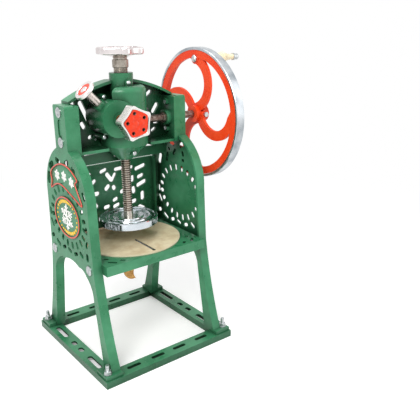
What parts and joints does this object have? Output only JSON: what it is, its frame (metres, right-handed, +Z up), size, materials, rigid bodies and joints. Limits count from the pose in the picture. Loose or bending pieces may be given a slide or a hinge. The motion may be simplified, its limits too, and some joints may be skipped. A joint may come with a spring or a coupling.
{
  "type": "hand cranked ice shaver",
  "caption": "Hand cranked cast block ice shaver: side crank wheel, screw press with spiked chuck, blade disc in a table, and a feed knob.",
  "frame": {"origin": "on the floor under the spindle's axis, at the middle of the base", "axes": "+X towards the crank wheel, +Y to the back, +Z up along the spindle"},
  "size_m": [0.4802, 0.3236, 0.6494],
  "materials": {
    "green_enamel": "gloss enamel",
    "red_enamel": "gloss enamel",
    "zinc_steel": "zinc plated",
    "bright_steel": "machined",
    "blade_steel": "ground",
    "nickel_plate": "polished nickel",
    "bronze": "turned",
    "brass": "cast",
    "pale_brass": "brushed",
    "cream_wood": "varnished"
  },
  "bodies": {
    "stand": {"base_rail_left": "green_enamel", "base_rail_right": "green_enamel", "base_bar_front": "green_enamel", "base_bar_back": "green_enamel", "foot_bolts": "zinc_steel", "foot_washers": "zinc_steel", "foot_nuts": "zinc_steel", "side_frame_left": "green_enamel", "side_frame_right": "green_enamel", "table": "green_enamel", "table_bolts": "zinc_steel", "table_nuts": "zinc_steel", "blade_disc": "pale_brass", "blade": "blade_steel", "blade_clamp": "bright_steel", "blade_screws": "zinc_steel", "back_panel": "green_enamel", "panel_screws": "zinc_steel", "head_casting": "green_enamel", "post_bolts": "zinc_steel", "post_nuts": "zinc_steel", "gear_hood": "green_enamel", "hood_screws": "zinc_steel", "rear_gear_cover": "green_enamel", "cover_screws": "zinc_steel", "feed_drum": "green_enamel", "drum_screws": "zinc_steel", "crank_bush_inner": "bronze", "crank_bush_outer": "bronze", "spindle_bush_lower": "bronze", "spindle_bush_upper": "bronze", "feed_bush_front": "bronze", "feed_bush_back": "bronze", "plunger_sleeve": "nickel_plate", "plunger_spring": "bright_steel"},
    "crank": {"crank_shaft": "bright_steel", "bevel_pinion": "bright_steel", "crank_wheel": "red_enamel", "wheel_set_bolt": "zinc_steel", "grip_pin": "bright_steel", "grip_nut": "nickel_plate"},
    "grip": {"grip": "cream_wood"},
    "crown": {"crown_gear": "bright_steel", "spindle_key": "bright_steel"},
    "press": {"spindle": "bright_steel", "chuck": "nickel_plate", "chuck_spikes": "bright_steel", "stop_collar": "nickel_plate", "handwheel_collar": "nickel_plate", "handwheel": "nickel_plate", "handwheel_cap": "zinc_steel"},
    "feed_wheel": {"feed_nut": "bronze"},
    "feed": {"feed_worm_shaft": "bright_steel", "star_knob": "nickel_plate", "star_knob_cap": "zinc_steel"},
    "plunger": {"plunger_pin": "bright_steel", "round_knob": "nickel_plate"},
    "adjuster": {"disc_adjuster": "brass"}
  },
  "joints": [
    {"name": "crank_turn", "type": "hinge", "parent": "stand", "child": "crank", "pos_m": [0.12, 0, 0.497], "axis": [1, 0, 0], "continuous": true},
    {"name": "grip_spin", "type": "hinge", "parent": "crank", "child": "grip", "pos_m": [0.25, 0, 0.619], "axis": [1, 0, 0], "continuous": true},
    {"name": "crown_turn", "type": "hinge", "parent": "stand", "child": "crown", "pos_m": [0, 0, 0.47], "axis": [0, 0, 1], "continuous": true},
    {"name": "press_slide", "type": "slide", "parent": "crown", "child": "press", "axis": [0, 0, 1], "range_m": [0, 0.1]},
    {"name": "feed_turn", "type": "hinge", "parent": "stand", "child": "feed", "pos_m": [-0.038, -0.05, 0.513], "axis": [0, 1, 0], "continuous": true},
    {"name": "feed_wheel_turn", "type": "hinge", "parent": "stand", "child": "feed_wheel", "pos_m": [0, 0, 0.513], "axis": [0, 0, 1], "continuous": true},
    {"name": "plunger_pull", "type": "slide", "parent": "stand", "child": "plunger", "axis": [-0.7071, 0, 0.7071], "range_m": [0, 0.008], "stiffness_N_per_m": 400, "springref_m": -0.004, "deforming": ["plunger_spring"]},
    {"name": "adjuster_turn", "type": "hinge", "parent": "stand", "child": "adjuster", "pos_m": [-0.053, -0.092, 0.21], "axis": [0, 0, 1], "range_deg": [-180, 180]}
  ],
  "couplings": [
    {"joint": "crown_turn", "follows": "crank_turn", "ratio": 0.55556},
    {"joint": "feed_wheel_turn", "follows": "feed_turn", "ratio": 0.030303}
  ]
}
